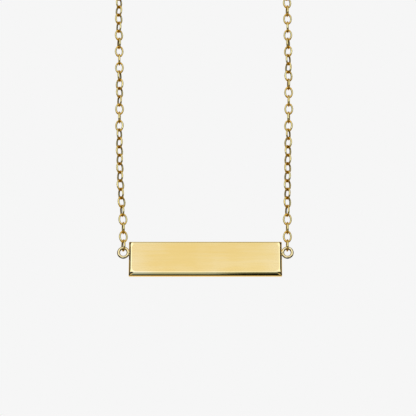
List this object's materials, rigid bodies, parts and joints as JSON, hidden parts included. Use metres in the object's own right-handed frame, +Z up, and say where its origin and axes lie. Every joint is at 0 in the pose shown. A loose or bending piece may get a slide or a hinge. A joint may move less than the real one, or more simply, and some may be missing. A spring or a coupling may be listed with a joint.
{
  "type": "bar pendant necklace",
  "caption": "Fine cable chain necklace hanging as a closed loop, with a flat horizontal bar pendant soldered to a ring at each end and a round clasp at the top.",
  "frame": {"origin": "top centre of the closed loop, where it hangs over a hook or round a neck", "axes": "+Z up along the hanging loop, -Y out of the bar's polished front, +X along the bar to the right in the front view"},
  "size_m": [0.0382, 0.0032, 0.1827],
  "materials": {
    "bar_gold": "mirror-polished yellow gold",
    "chain_gold": "bright drawn gold wire",
    "clasp_gold": "polished yellow gold"
  },
  "bodies": {
    "chain": {"chain_left": "chain_gold", "chain_right": "chain_gold", "spring_clasp": "clasp_gold", "clasp_jump_ring": "clasp_gold", "end_ring": "clasp_gold"},
    "bar": {"bar_pendant": "bar_gold"}
  },
  "joints": [
    {"name": "bar_swing", "type": "hinge", "parent": "chain", "child": "bar", "pos_m": [0, 0, -0.17378], "axis": [1, 0, 0], "range_deg": [-135, 135]}
  ]
}
